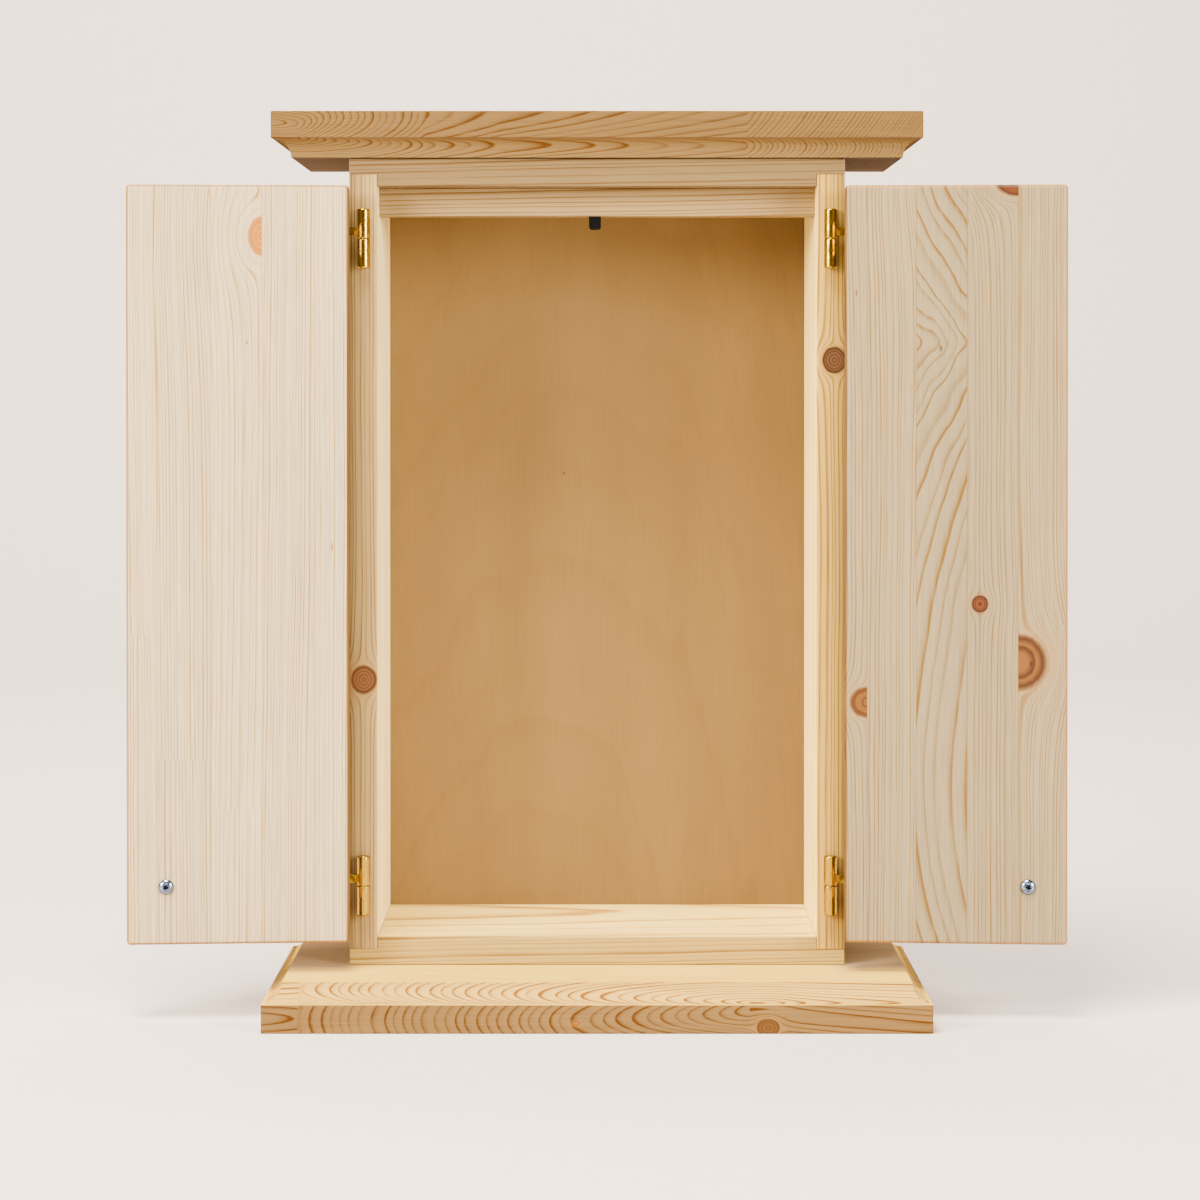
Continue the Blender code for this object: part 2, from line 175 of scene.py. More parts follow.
def ramp(tree, factor, stops, interpolation="LINEAR"):
    """A colour ramp through (place, colour) stops, each colour a number or a tuple."""
    made = tree.nodes.new("ShaderNodeValToRGB")
    made.color_ramp.interpolation = interpolation
    elements = made.color_ramp.elements
    while len(elements) > 1:
        elements.remove(elements[-1])
    for index, (place, colour) in enumerate(stops):
        element = elements[0] if index == 0 else elements.new(place)
        element.position = place
        if not isinstance(colour, tuple):
            colour = (colour, colour, colour)
        element.color = (*colour[:3], 1.0)
    tree.links.new(factor, made.inputs[0])
    return made.outputs[0]


def clouded(tree, noise, dark, light):
    """A colour that wavers between two with a noise."""
    return ramp(tree, noise, [(USUAL[0], linear(dark)), (USUAL[1], linear(light))])


def new_material(name, **sockets):
    """A Principled material, with the values that are the same all over it."""
    made = bpy.data.materials.new(name)
    made.use_nodes = True
    shader = made.node_tree.nodes["Principled BSDF"]
    for key, value in sockets.items():
        shader.inputs[key.replace("_", " ")].default_value = value
    return made, made.node_tree, shader


# Pine: pale earlywood between darker latewood lines, under clear satin lacquer

# How dark the wood is from one ring's start to its end: pale, then a line, sharp outside
ONE_RING = [
    (0.0, 0.15), (0.07, 0.0), (0.55, 0.05), (0.76, 0.4), (0.88, 1.0), (0.95, 0.9),
    (1.0, 0.15),
]

# Where a knot's halo, heart and dark rim begin and end, as shares of its radius
HALO = (0.9, 2.0)
HEART = (1.02, 1.16)
RIM_IN = (0.8, 0.98)
RIM_OUT = (1.02, 1.24)

# Millimetres over which a knot near one face of a board fades out
KNOT_FADE = 9.0

# Millimetres behind the face of a moulded board that still show its fascia's wood
FASCIA_SKIN = 0.9

# Millimetres in a metre
MM = 1000.0

# How straight a normal is on a face that looks along an axis, and on an eased arris
FLAT = 0.995
ARRIS = (0.1, 0.93)

# Painted door shadow, in millimetres: middle to beside the case, and before to behind the doors
SHADOW_BESIDE = (150.0, 162.0)
SHADOW_BEHIND = (-64.0, -36.0)


def millimetres(tree):
    """A point's place on the object, in millimetres."""
    place = put(tree, "TexCoord", out=3)
    return put(tree, "VectorMath", {0: place, "Scale": MM}, operation="SCALE")


def mix(tree, factor, first, second):
    """From one colour to another, by a factor from 0 to 1."""
    return put(
        tree, "Mix", {0: factor, 6: first, 7: second}, out=2, data_type="RGBA",
    )


def stretched_noise(tree, place, axes, lengths, detail=2.0):
    """Noise drawn out along the grain: lengths are its size across, deep and along."""
    scale = [0.0, 0.0, 0.0]
    for axis, length in zip(axes, lengths):
        scale[axis] = 1.0 / length
    at = put(tree, "VectorMath", [place, scale], operation="MULTIPLY")
    return put(tree, "TexNoise", {"Vector": at, "Scale": 1.0, "Detail": detail})


def stave_values(tree, lookup, staves, keys, blend):
    """Three values of the stave that the surface belongs to, as separate numbers."""
    low = staves[0]["edge"]
    span = staves[-1]["edge"] - low + 1.0
    floor = [min(strip[key] for strip in staves) for key in keys]
    reach = [
        max(max(strip[key] for strip in staves) - floor[i], 0.001)
        for i, key in enumerate(keys)
    ]
    stops = []
    for strip in staves:
        colour = tuple((strip[key] - floor[i]) / reach[i] for i, key in enumerate(keys))
        stops.append(((strip["edge"] - low) / span, colour))
    factor = put(tree, "MapRange", [lookup, low, low + span, 0.0, 1.0])
    packed = ramp(tree, factor, stops, blend)
    values = put(tree, "VectorMath", [packed, reach, floor], operation="MULTIPLY_ADD")
    return put(tree, "SeparateXYZ", [values], out=None)


def knot_distance(tree, place, axes, item):
    """How far a point is from the knot's centre, with the knot drawn out by the grain."""
    across_axis, along_axis = axes
    centre = [0.0, 0.0, 0.0]
    squeeze = [0.0, 0.0, 0.0]
    centre[across_axis] = item["across"]
    centre[along_axis] = item["along"]
    squeeze[across_axis] = 1.0
    squeeze[along_axis] = 1.0 / item["stretch"]
    apart = put(tree, "VectorMath", [place, centre], operation="SUBTRACT")
    shaped = put(tree, "VectorMath", [apart, squeeze], operation="MULTIPLY")
    return put(tree, "VectorMath", [shaped], out=1, operation="LENGTH")


def flow_round(tree, bent, across, depth, place, axes, item):
    """Push the grain aside round one knot. Gives the bent place, distance and mask."""
    away = knot_distance(tree, place, (axes[0], axes[2]), item)
    mask = 1.0
    if "side" in item:
        kind = "GREATER_THAN" if item["side"] > 0 else "LESS_THAN"
        mask = put(tree, "Math", [across, item["across"]], operation=kind)
    if "deep" in item:
        near = item["deep"] - KNOT_FADE
        mask = put(tree, "MapRange", [depth, near, item["deep"], 1.0, 0.0])
    flow = item["radius"] * item["flow"]
    reach = put(tree, "Math", [away, flow], operation="MAXIMUM")
    squared = put(tree, "Math", [reach, 2.0], operation="POWER")
    pull = put(tree, "Math", [flow ** 2, squared], operation="DIVIDE")
    offset = put(tree, "Math", [across, item["across"]], operation="SUBTRACT")
    push = put(tree, "Math", [offset, pull], operation="MULTIPLY")
    rings = put(tree, "Math", [reach, away], operation="SUBTRACT")
    moved = put(tree, "Math", [push, rings], operation="SUBTRACT")
    masked = put(tree, "Math", [moved, mask], operation="MULTIPLY")
    return put(tree, "Math", [bent, masked], operation="SUBTRACT"), away, mask


def swirl_grain(tree, bent, across, along, place, axes, swirl):
    """Grain that turns aside above and below one level, as beside a hidden branch."""
    off = put(tree, "Math", [along, swirl["level"]], operation="SUBTRACT")
    other = put(tree, "Math", [swirl["level"], along], operation="SUBTRACT")
    away = put(tree, "Math", [off, other, 16.0], operation="SMOOTH_MAX")
    wider = put(tree, "Math", [away, swirl["reach"]], operation="ADD")
    share = put(tree, "Math", [away, wider], operation="DIVIDE")
    turned = put(tree, "Math", [share, swirl["rise"], bent], operation="MULTIPLY_ADD")
    below = put(tree, "Math", [swirl["foot"], along], operation="SUBTRACT")
    low = put(tree, "Math", [below, 0.0], operation="MAXIMUM")
    squared = put(tree, "Math", [low, 2.0], operation="POWER")
    leaned = put(
        tree, "Math", [squared, -swirl["bend"], turned], operation="MULTIPLY_ADD",
    )
    ripple = stretched_noise(tree, place, axes, (16.0, 16.0, 34.0), 1.0)
    near = put(tree, "Math", [1.0, share], operation="SUBTRACT")
    nearer = put(tree, "Math", [near, 3.0], operation="POWER")
    ripples = put(tree, "Math", [nearer, swirl["ripple"]], operation="MULTIPLY")
    leaned = put(tree, "Math", [ripple, ripples, leaned], operation="MULTIPLY_ADD")
    middle = put(tree, "Math", [across, swirl["middle"]], operation="SUBTRACT")
    apart = put(tree, "Math", [middle], operation="ABSOLUTE")
    inside = put(tree, "Math", [apart, swirl["half"]], operation="LESS_THAN")
    return put(tree, "Mix", {0: inside, 2: bent, 3: leaned}, data_type="FLOAT")


def ring_lines(tree, parts, bent, place, axes, staves, lookup, blend, wander,
               uneven_by):
    """Latewood lines: rings of a log whose pith runs beside or behind each stave."""
    across, depth, along = parts
    drift = stretched_noise(tree, place, axes, (42.0, 42.0, 230.0))
    bend = put(tree, "Math", [drift, wander, -wander / 2], operation="MULTIPLY_ADD")
    pith = stave_values(
        tree, lookup, staves, ("pith_across", "pith_depth", "spacing"), blend,
    )
    lean = stave_values(
        tree, lookup, staves, ("lean_across", "lean_depth", "seed"), "CONSTANT",
    )
    other = stave_values(tree, lookup, staves, ("joint", "shift", "tone"), blend)
    above = put(tree, "Math", [along, other[0]], operation="GREATER_THAN")
    jump = put(tree, "Math", [above, other[1]], operation="MULTIPLY")
    from_pith = put(tree, "Math", [bent, pith[0]], operation="SUBTRACT")
    swayed = put(tree, "Math", [from_pith, bend], operation="ADD")
    jumped = put(tree, "Math", [swayed, jump], operation="ADD")
    lean_1 = put(tree, "Math", [along, lean[0]], operation="MULTIPLY")
    lean_2 = put(tree, "Math", [along, lean[1]], operation="MULTIPLY")
    side = put(tree, "Math", [jumped, lean_1], operation="SUBTRACT")
    rear = put(tree, "Math", [depth, pith[1]], operation="SUBTRACT")
    rear_leaned = put(tree, "Math", [rear, lean_2], operation="SUBTRACT")
    corner = put(tree, "CombineXYZ", [side, rear_leaned, 0.0])
    radius = put(tree, "VectorMath", [corner], out=1, operation="LENGTH")
    ring_place = put(tree, "Math", [radius, pith[2]], operation="DIVIDE")
    uneven_at = put(tree, "Math", [ring_place, 0.31, lean[2]], operation="MULTIPLY_ADD")
    uneven = put(
        tree, "TexNoise", {"W": uneven_at, "Scale": 1.0, "Detail": 1.0},
        noise_dimensions="1D",
    )
    phase = put(tree, "Math", [uneven, uneven_by, ring_place], operation="MULTIPLY_ADD")
    within = put(tree, "Math", [phase], operation="FRACT")
    number = put(tree, "Math", [phase], operation="FLOOR")
    seeded = put(tree, "Math", [number, lean[2]], operation="ADD")
    strength = put(tree, "TexWhiteNoise", {"W": seeded}, noise_dimensions="1D")
    profile = ramp(tree, within, ONE_RING)
    strong = put(tree, "MapRange", [strength, 0.0, 1.0, 0.4, 1.15])
    fade = stretched_noise(tree, place, axes, (3.0, 3.0, 55.0))
    faded = put(tree, "MapRange", [fade, *USUAL, 0.55, 1.2])
    lined = put(tree, "Math", [profile, strong], operation="MULTIPLY")
    lines = put(tree, "Math", [lined, faded], operation="MULTIPLY")
    return lines, fade, drift, other[2]


def knot_heart(tree, colour, fade, item, away, mask):
    """Rings, a dark rim and a warm halo for one knot."""
    radius = item["radius"]
    halo = put(tree, "MapRange", [away, *(radius * end for end in HALO), 0.3, 0.0])
    halo_here = put(tree, "Math", [halo, mask], operation="MULTIPLY")
    colour = mix(tree, halo_here, colour, linear(item["halo"]))
    edge = put(tree, "Math", [fade, radius * 0.14, away], operation="MULTIPLY_ADD")
    ring_at = put(tree, "Math", [edge, item["ring"]], operation="DIVIDE")
    ring_in = put(tree, "Math", [ring_at], operation="FRACT")
    heart = ramp(tree, ring_in, [
        (0.0, linear(item["light"])), (0.55, linear(item["light"])),
        (0.85, linear(item["dark"])), (1.0, linear(item["light"])),
    ])
    inside = put(tree, "MapRange", [edge, *(radius * end for end in HEART), 1.0, 0.0])
    inside_here = put(tree, "Math", [inside, mask], operation="MULTIPLY")
    colour = mix(tree, inside_here, colour, heart)
    rim_in = put(tree, "MapRange", [edge, *(radius * end for end in RIM_IN), 0.0, 1.0])
    rim_out = put(tree, "MapRange", [edge, *(radius * end for end in RIM_OUT), 1.0, 0.0])
    rim = put(tree, "Math", [rim_in, rim_out], operation="MULTIPLY")
    rim_here = put(tree, "Math", [rim, mask], operation="MULTIPLY")
    rim_part = put(tree, "Math", [rim_here, item["rim"]], operation="MULTIPLY")
    return mix(tree, rim_part, colour, linear(item["dark"]))


def glue_lines(tree, lookup, staves):
    """How near the surface is to the joint between two staves, from 0 to 1."""
    seam = 0.0
    for strip in staves[1:]:
        off = put(tree, "Math", [lookup, strip["edge"]], operation="SUBTRACT")
        near = put(tree, "Math", [off], operation="ABSOLUTE")
        one = put(tree, "MapRange", [near, 0.12, 0.42, 0.55, 0.0])
        seam = put(tree, "Math", [seam, one], operation="MAXIMUM")
    return seam


def pine(name, grain, pale, line, staves, knots=(), marks=(), contrast=1.0,
         wander=5.0, roughness=0.42, by="across", blend="CONSTANT", other_faces=(),
         fibre_depth=0.06, speckle=0.025, uneven_by=2.2, shine=0.15, swirl=None):
    """Lacquered pine with rings, knots, resin marks, glue lines and fine fibre.

    Each of other_faces is a function that gives where another face of the board is,
    with that face's own pale and line colours and its share of the contrast.
    """
    made, tree, shader = new_material(
        name, IOR=1.5, Specular_IOR_Level=shine, Coat_Weight=shine * 0.15,
        Coat_Roughness=0.25,
    )
    axes = {"upright": (0, 1, 2), "level": (2, 1, 0)}[grain]
    place = millimetres(tree)
    split = put(tree, "SeparateXYZ", [place], out=None)
    parts = [split[axis] for axis in axes]
    across = parts[0]
    lookup = parts[("across", "depth", "along").index(by)]

    bent = across
    hearts = []
    for item in knots:
        bent, away, mask = flow_round(
            tree, bent, across, parts[1], place, axes, item,
        )
        hearts.append((item, away, mask))
    if swirl:
        bent = swirl_grain(tree, bent, across, parts[2], place, axes, swirl)
    lines, fade, drift, stave_tone_and_shade = ring_lines(
        tree, parts, bent, place, axes, staves, lookup, blend, wander, uneven_by,
    )
    fibre = stretched_noise(tree, place, axes, (0.55, 0.55, 36.0))
    speck = put(tree, "TexNoise", {"Vector": place, "Scale": 1.6, "Detail": 2.0})

    amount = put(tree, "Math", [lines, contrast], operation="MULTIPLY")
    colour = mix(tree, amount, linear(pale), linear(line))
    for other_face in other_faces:
        here, other_pale, other_line, share = other_face(tree, split)
        softer = put(tree, "Math", [lines, contrast * share], operation="MULTIPLY")
        second = mix(tree, softer, linear(other_pale), linear(other_line))
        colour = mix(tree, here, colour, second)
    fibre_tone = put(
        tree, "MapRange", [fibre, *USUAL, 1.0 - fibre_depth, 1.0 + fibre_depth],
    )
    speck_tone = put(
        tree, "MapRange", [speck, *USUAL, 1.0 - speckle, 1.0 + speckle],
    )
    blotch = put(tree, "MapRange", [drift, *USUAL, 0.94, 1.06])
    # Stave tones: wood tone, and on the case sides and the back panel also painted shade
    tone = put(tree, "Math", [fibre_tone, stave_tone_and_shade], operation="MULTIPLY")
    tone = put(tree, "Math", [tone, speck_tone], operation="MULTIPLY")
    tone = put(tree, "Math", [tone, blotch], operation="MULTIPLY")
    colour = put(tree, "VectorMath", {0: colour, "Scale": tone}, operation="SCALE")

    for item, away, mask in hearts:
        colour = knot_heart(tree, colour, fade, item, away, mask)
    for item in marks:
        away = knot_distance(tree, place, (axes[0], axes[2]), item)
        spot = put(
            tree, "MapRange", [away, item["radius"] * 0.3, item["radius"], 0.85, 0.0],
        )
        colour = mix(tree, spot, colour, linear(item["dark"]))
    if len(staves) > 1 and blend == "CONSTANT":
        colour = mix(tree, glue_lines(tree, lookup, staves), colour, linear(line))

    tree.links.new(colour, shader.inputs["Base Color"])
    gloss = put(tree, "MapRange", [fibre, *USUAL, roughness - 0.05, roughness + 0.06])
    tree.links.new(gloss, shader.inputs["Roughness"])
    height = put(tree, "Math", [fibre, 0.35, lines], operation="MULTIPLY_ADD")
    bump = put(
        tree, "Bump", {"Strength": 0.35, "Distance": 0.00005, "Height": height},
    )
    tree.links.new(bump, shader.inputs["Normal"])
    return made


def stave(edge, pith_across, pith_depth, spacing, lean_across=0.0, lean_depth=0.0,
          seed=0.0, joint=9999.0, shift=0.0, tone=1.0):
    """One glued strip, from its edge on. Places and widths are in millimetres."""
    return {
        "edge": edge, "pith_across": pith_across, "pith_depth": pith_depth,
        "spacing": spacing, "lean_across": lean_across, "lean_depth": lean_depth,
        "seed": seed, "joint": joint, "shift": shift, "tone": tone,
    }


def knot(name, across, along, radius, stretch=1.1, side=None, ring=1.4, rim=0.7,
         flow=1.15, halo="8C6430", deep=None):
    """One knot. A side keeps only that half of it, and deep is where it has ended."""
    light, dark = PALETTE[name]
    made = {
        "across": across, "along": along, "radius": radius, "stretch": stretch,
        "ring": ring, "rim": rim, "flow": flow, "light": light, "dark": dark,
        "halo": halo,
    }
    if side is not None:
        made["side"] = side
    if deep is not None:
        made["deep"] = deep
    return made


def mark(across, along, radius, stretch=1.0, dark="4F2E14"):
    """A small dark resin mark, in millimetres, drawn out along the grain."""
    return {
        "across": across, "along": along, "radius": radius, "stretch": stretch,
        "dark": dark,
    }


def face_towards(axis, sign, colours, share, least=FLAT):
    """The faces that look one way along an axis, such as a board's wide inner face."""
    def pick(tree, split):
        normal = put(tree, "TexCoord", out=1)
        turned = put(tree, "SeparateXYZ", [normal], out=None)[axis]
        straight = put(tree, "Math", [turned, sign], operation="MULTIPLY")
        here = put(tree, "Math", [straight, least], operation="GREATER_THAN")
        return here, *PALETTE[colours], share
    return pick


def arrises(colours, share):
    """The eased arrises round a door, which face neither flat."""
    def pick(tree, split):
        normal = put(tree, "TexCoord", out=1)
        turned = put(tree, "SeparateXYZ", [normal], out=None)[1]
        straight = put(tree, "Math", [turned], operation="ABSOLUTE")
        flat = put(tree, "Math", [straight, ARRIS[1]], operation="LESS_THAN")
        edge = put(tree, "Math", [straight, ARRIS[0]], operation="GREATER_THAN")
        here = put(tree, "Math", [flat, edge], operation="MULTIPLY")
        return here, *PALETTE[colours], share
    return pick


def behind_the_fascia(half_width, front, colours, share):
    """All of a moulded board that lies behind its front and end fascias."""
    def pick(tree, split):
        wide = put(tree, "Math", [split[0]], operation="ABSOLUTE")
        between = put(tree, "Math", [wide, half_width], operation="LESS_THAN")
        behind = put(tree, "Math", [split[1], front], operation="GREATER_THAN")
        here = put(tree, "Math", [between, behind], operation="MULTIPLY")
        return here, *PALETTE[colours], share
    return pick


def painted_shadow_beside_case(colours, share):
    """Painted shadow of the open doors on the base board's top at either end, behind their line.
    """
    def pick(tree, split):
        normal = put(tree, "TexCoord", out=1)
        turned = put(tree, "SeparateXYZ", [normal], out=None)[2]
        flat = put(tree, "Math", [turned, FLAT], operation="GREATER_THAN")
        wide = put(tree, "Math", [split[0]], operation="ABSOLUTE")
        outside = put(tree, "MapRange", [wide, *SHADOW_BESIDE, 0.0, 1.0])
        behind = put(tree, "MapRange", [split[1], *SHADOW_BEHIND, 0.0, 1.0])
        corner = put(tree, "Math", [outside, behind], operation="MULTIPLY")
        here = put(tree, "Math", [corner, flat], operation="MULTIPLY")
        return here, *PALETTE[colours], share
    return pick


# Metals and plastic

def polished_brass():
    """Polished brass plate: bright soft-edged reflections and faint handling marks."""
    made, tree, shader = new_material("polished brass", Metallic=1.0)
    place = millimetres(tree)
    cloud = put(tree, "TexNoise", {"Vector": place, "Scale": 0.35, "Detail": 4.0})
    colour = clouded(tree, cloud, "9A7A1A", "A88822")
    tree.links.new(colour, shader.inputs["Base Color"])
    gloss = put(tree, "MapRange", [cloud, *USUAL, 0.19, 0.24])
    tree.links.new(gloss, shader.inputs["Roughness"])
    turned = put(tree, "VectorMath", [place, (0.4, 0.4, 9.0)], operation="MULTIPLY")
    lathe = put(tree, "TexNoise", {"Vector": turned, "Scale": 1.0, "Detail": 2.0})
    bump = put(
        tree, "Bump", {"Strength": 0.03, "Distance": 0.000005, "Height": lathe},
    )
    tree.links.new(bump, shader.inputs["Normal"])
    return made


def zinc_plate():
    """Zinc plated steel: blue-grey, faintly clouded, with painted shade in the cross recess."""
    made, tree, shader = new_material("zinc plated steel", Metallic=1.0)
    place = millimetres(tree)
    grit = put(tree, "TexNoise", {"Vector": place, "Scale": 1.8, "Detail": 4.0})
    plated = clouded(tree, grit, "566276", "728098")
    low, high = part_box("right_knob_screw")
    axis_at = (MM * (low.x + high.x) / 2, 0.0, MM * (low.z + high.z) / 2)
    split = put(tree, "SeparateXYZ", [place], out=None)
    wide = put(tree, "Math", [split[0]], operation="ABSOLUTE")
    face = put(tree, "CombineXYZ", [wide, 0.0, split[2]])
    apart = put(tree, "VectorMath", [face, axis_at], out=1, operation="DISTANCE")
    # Painted shade in and round the cross recess, at the middle of the head
    recess = put(tree, "MapRange", [apart, 1.2, 2.1, 1.0, 0.0])
    colour = mix(tree, recess, plated, linear("10141C"))
    tree.links.new(colour, shader.inputs["Base Color"])
    gloss = put(tree, "MapRange", [grit, *USUAL, 0.18, 0.26])
    tree.links.new(gloss, shader.inputs["Roughness"])
    bump = put(
        tree, "Bump", {"Strength": 0.06, "Distance": 0.00001, "Height": grit},
    )
    tree.links.new(bump, shader.inputs["Normal"])
    return made


def black_moulded_plastic():
    """Moulded black plastic with a fine spark-eroded texture."""
    made, tree, shader = new_material(
        "black moulded plastic", IOR=1.5, Specular_IOR_Level=0.04,
    )
    place = millimetres(tree)
    grain = put(tree, "TexNoise", {"Vector": place, "Scale": 3.5, "Detail": 3.0})
    colour = clouded(tree, grain, "040404", "080808")
    tree.links.new(colour, shader.inputs["Base Color"])
    gloss = put(tree, "MapRange", [grain, *USUAL, 0.5, 0.64])
    tree.links.new(gloss, shader.inputs["Roughness"])
    bump = put(
        tree, "Bump", {"Strength": 0.3, "Distance": 0.00004, "Height": grain},
    )
    tree.links.new(bump, shader.inputs["Normal"])
    return made


# Pieces

# Edges that turn by more than this stay sharp, faces that turn by less than this are
# merged, and verts nearer than this are one
SHARP_FROM = math.radians(40.0)
SAME_PLANE = math.radians(0.2)
SAME_PLACE = 0.000001


def finish_mesh(name, bm, material, body, nodes):
    """Turn a finished bmesh into a piece that stands for its CAD nodes."""
    mesh = bpy.data.meshes.new(name)
    bm.to_mesh(mesh)
    bm.free()
    mesh.shade_smooth()
    mesh.set_sharp_from_angle(angle=SHARP_FROM)
    mesh.materials.append(material)
    piece = bpy.data.objects.new(name, mesh)
    bpy.context.scene.collection.objects.link(piece)
    even = piece.modifiers.new("Even shading", "WEIGHTED_NORMAL")
    even.keep_sharp = True
    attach(piece, body)
    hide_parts(*nodes)
    return piece


def smooth_copy(node, name, material, body):
    """A copy of a CAD node, merged, so that its roundings and coves shade smoothly."""
    bm = bmesh.new()
    bm.from_mesh(NODES[node].data)
    bmesh.ops.remove_doubles(bm, verts=bm.verts, dist=SAME_PLACE)
    bmesh.ops.dissolve_limit(
        bm, angle_limit=SAME_PLANE, verts=bm.verts, edges=bm.edges,
    )
    return finish_mesh(name, bm, material, body, [node])


def spin_profile(bm, profile, axis_point, axis, reference, steps):
    """Turn a profile of (radius, height) points round an axis into a closed surface."""
    made = []
    for radius, height in profile:
        made.append(bm.verts.new(axis_point + reference * radius + axis * height))
    edges = [bm.edges.new(pair) for pair in zip(made, made[1:])]
    bmesh.ops.spin(
        bm, geom=made + edges, cent=axis_point, axis=axis, angle=math.tau, steps=steps,
        use_merge=True, use_duplicate=False,
    )
    bmesh.ops.remove_doubles(bm, verts=bm.verts, dist=SAME_PLACE)
    bmesh.ops.recalc_face_normals(bm, faces=bm.faces)


def arc(centre, radius, start, end, steps):
    """Points of a round stretch of profile, between two angles in degrees."""
    points = []
    for step in range(steps + 1):
        angle = math.radians(start + (end - start) * step / steps)
        points.append((
            centre[0] + radius[0] * math.cos(angle),
            centre[1] + radius[1] * math.sin(angle),
        ))
    return points


# The camera, the floor and the light

def set_camera():
    """Stand the camera before the case, its picture shifted to put the horizon right."""
    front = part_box("case_left_side")[0].y
    camera = bpy.data.cameras.new("camera")
    camera.sensor_width = SENSOR_WIDTH
    camera.lens = FOCAL_PIXELS / FRAME_PIXELS * SENSOR_WIDTH
    camera.clip_end = 20.0
    middle_row = HORIZON_ROW + FOCAL_PIXELS * math.tan(CAMERA_PITCH)
    camera.shift_y = (middle_row - FRAME_PIXELS / 2) / FRAME_PIXELS
    holder = bpy.data.objects.new("camera", camera)
    holder.location = (CAMERA_ASIDE, front - CAMERA_DISTANCE, CAMERA_HEIGHT)
    holder.rotation_euler = (math.pi / 2 - CAMERA_PITCH, 0.0, 0.0)
    bpy.context.scene.collection.objects.link(holder)
    bpy.context.scene.camera = holder


def set_floor():
    """A pale seamless sweep: floor in front, curving up well behind the cabinet."""
    made, tree, shader = new_material("pale studio paper", Roughness=0.9)
    grain = put(tree, "TexNoise", {
        "Vector": put(tree, "TexCoord", out=3), "Scale": 60.0, "Detail": 2.0,
    })
    tone = clouded(tree, grain, *PALETTE["paper"])
    tree.links.new(tone, shader.inputs["Base Color"])
    bm = bmesh.new()
    start = [
        bm.verts.new((side * FLOOR_HALF_WIDTH, FLOOR_NEAR, 0.0)) for side in (-1, 1)
    ]
    edge = bm.edges.new(start)
    turn = (SWEEP_START, SWEEP_RADIUS)
    path = arc(turn, (SWEEP_RADIUS, SWEEP_RADIUS), -90, 0, 20)
    path[0] = (SWEEP_START, 0.0)
    path.append((SWEEP_START + SWEEP_RADIUS, WALL_TOP))
    last = edge
    for y, z in path:
        grown = bmesh.ops.extrude_edge_only(bm, edges=[last])["geom"]
        verts = [item for item in grown if isinstance(item, bmesh.types.BMVert)]
        for vert in verts:
            vert.co.y = y
            vert.co.z = z
        last = [
            item for item in grown
            if isinstance(item, bmesh.types.BMEdge)
            and all(vert in verts for vert in item.verts)
        ][0]
    bmesh.ops.recalc_face_normals(bm, faces=bm.faces)
    mesh = bpy.data.meshes.new("studio_floor")
    bm.to_mesh(mesh)
    bm.free()
    mesh.shade_smooth()
    mesh.materials.append(made)
    floor = bpy.data.objects.new("studio_floor", mesh)
    bpy.context.scene.collection.objects.link(floor)


def add_light(name, place, target, size, power, colour):
    """A rectangular area light that looks at its target."""
    light = bpy.data.lights.new(name, "AREA")
    light.shape = "RECTANGLE"
    light.size, light.size_y = size
    light.energy = power
    light.color = linear(colour)[:3]
    holder = bpy.data.objects.new(name, light)
    holder.location = place
    towards = Vector(target) - Vector(place)
    holder.rotation_euler = towards.to_track_quat("-Z", "Y").to_euler()
    bpy.context.scene.collection.objects.link(holder)


def set_light():
    """Soft boxes from both sides and above, two narrow ones for the brass, one behind."""
    cabinet = (0.0, 0.0, 0.3)
    add_light("key", (-2.1, -1.8, 1.3), cabinet, (1.2, 1.2), 305.0, "FFF6E8")
    add_light("fill", (2.2, -1.9, 1.0), cabinet, (1.3, 1.3), 205.0, "FFF8EE")
    add_light("top", (-0.4, -0.9, 2.5), (0.0, 0.0, 0.1), (1.1, 0.8), 260.0, "FFF8EE")
    add_light("left strip", (-2.0, -1.5, 0.7), cabinet, (0.3, 1.3), 34.0, "FFF6E8")
    add_light("right strip", (1.9, -1.7, 0.7), cabinet, (0.3, 1.3), 34.0, "FFF8EE")
    add_light("sweep", (-0.5, 1.2, 2.9), (0.0, 3.2, 0.7), (3.0, 0.8), 340.0, "FFF8F0")
    world = bpy.data.worlds.new("soft room")
    world.use_nodes = True
    back = world.node_tree.nodes["Background"]
    back.inputs["Color"].default_value = linear("FFF8EE")
    back.inputs["Strength"].default_value = 0.14
    bpy.context.scene.world = world


# The cabinet's boards

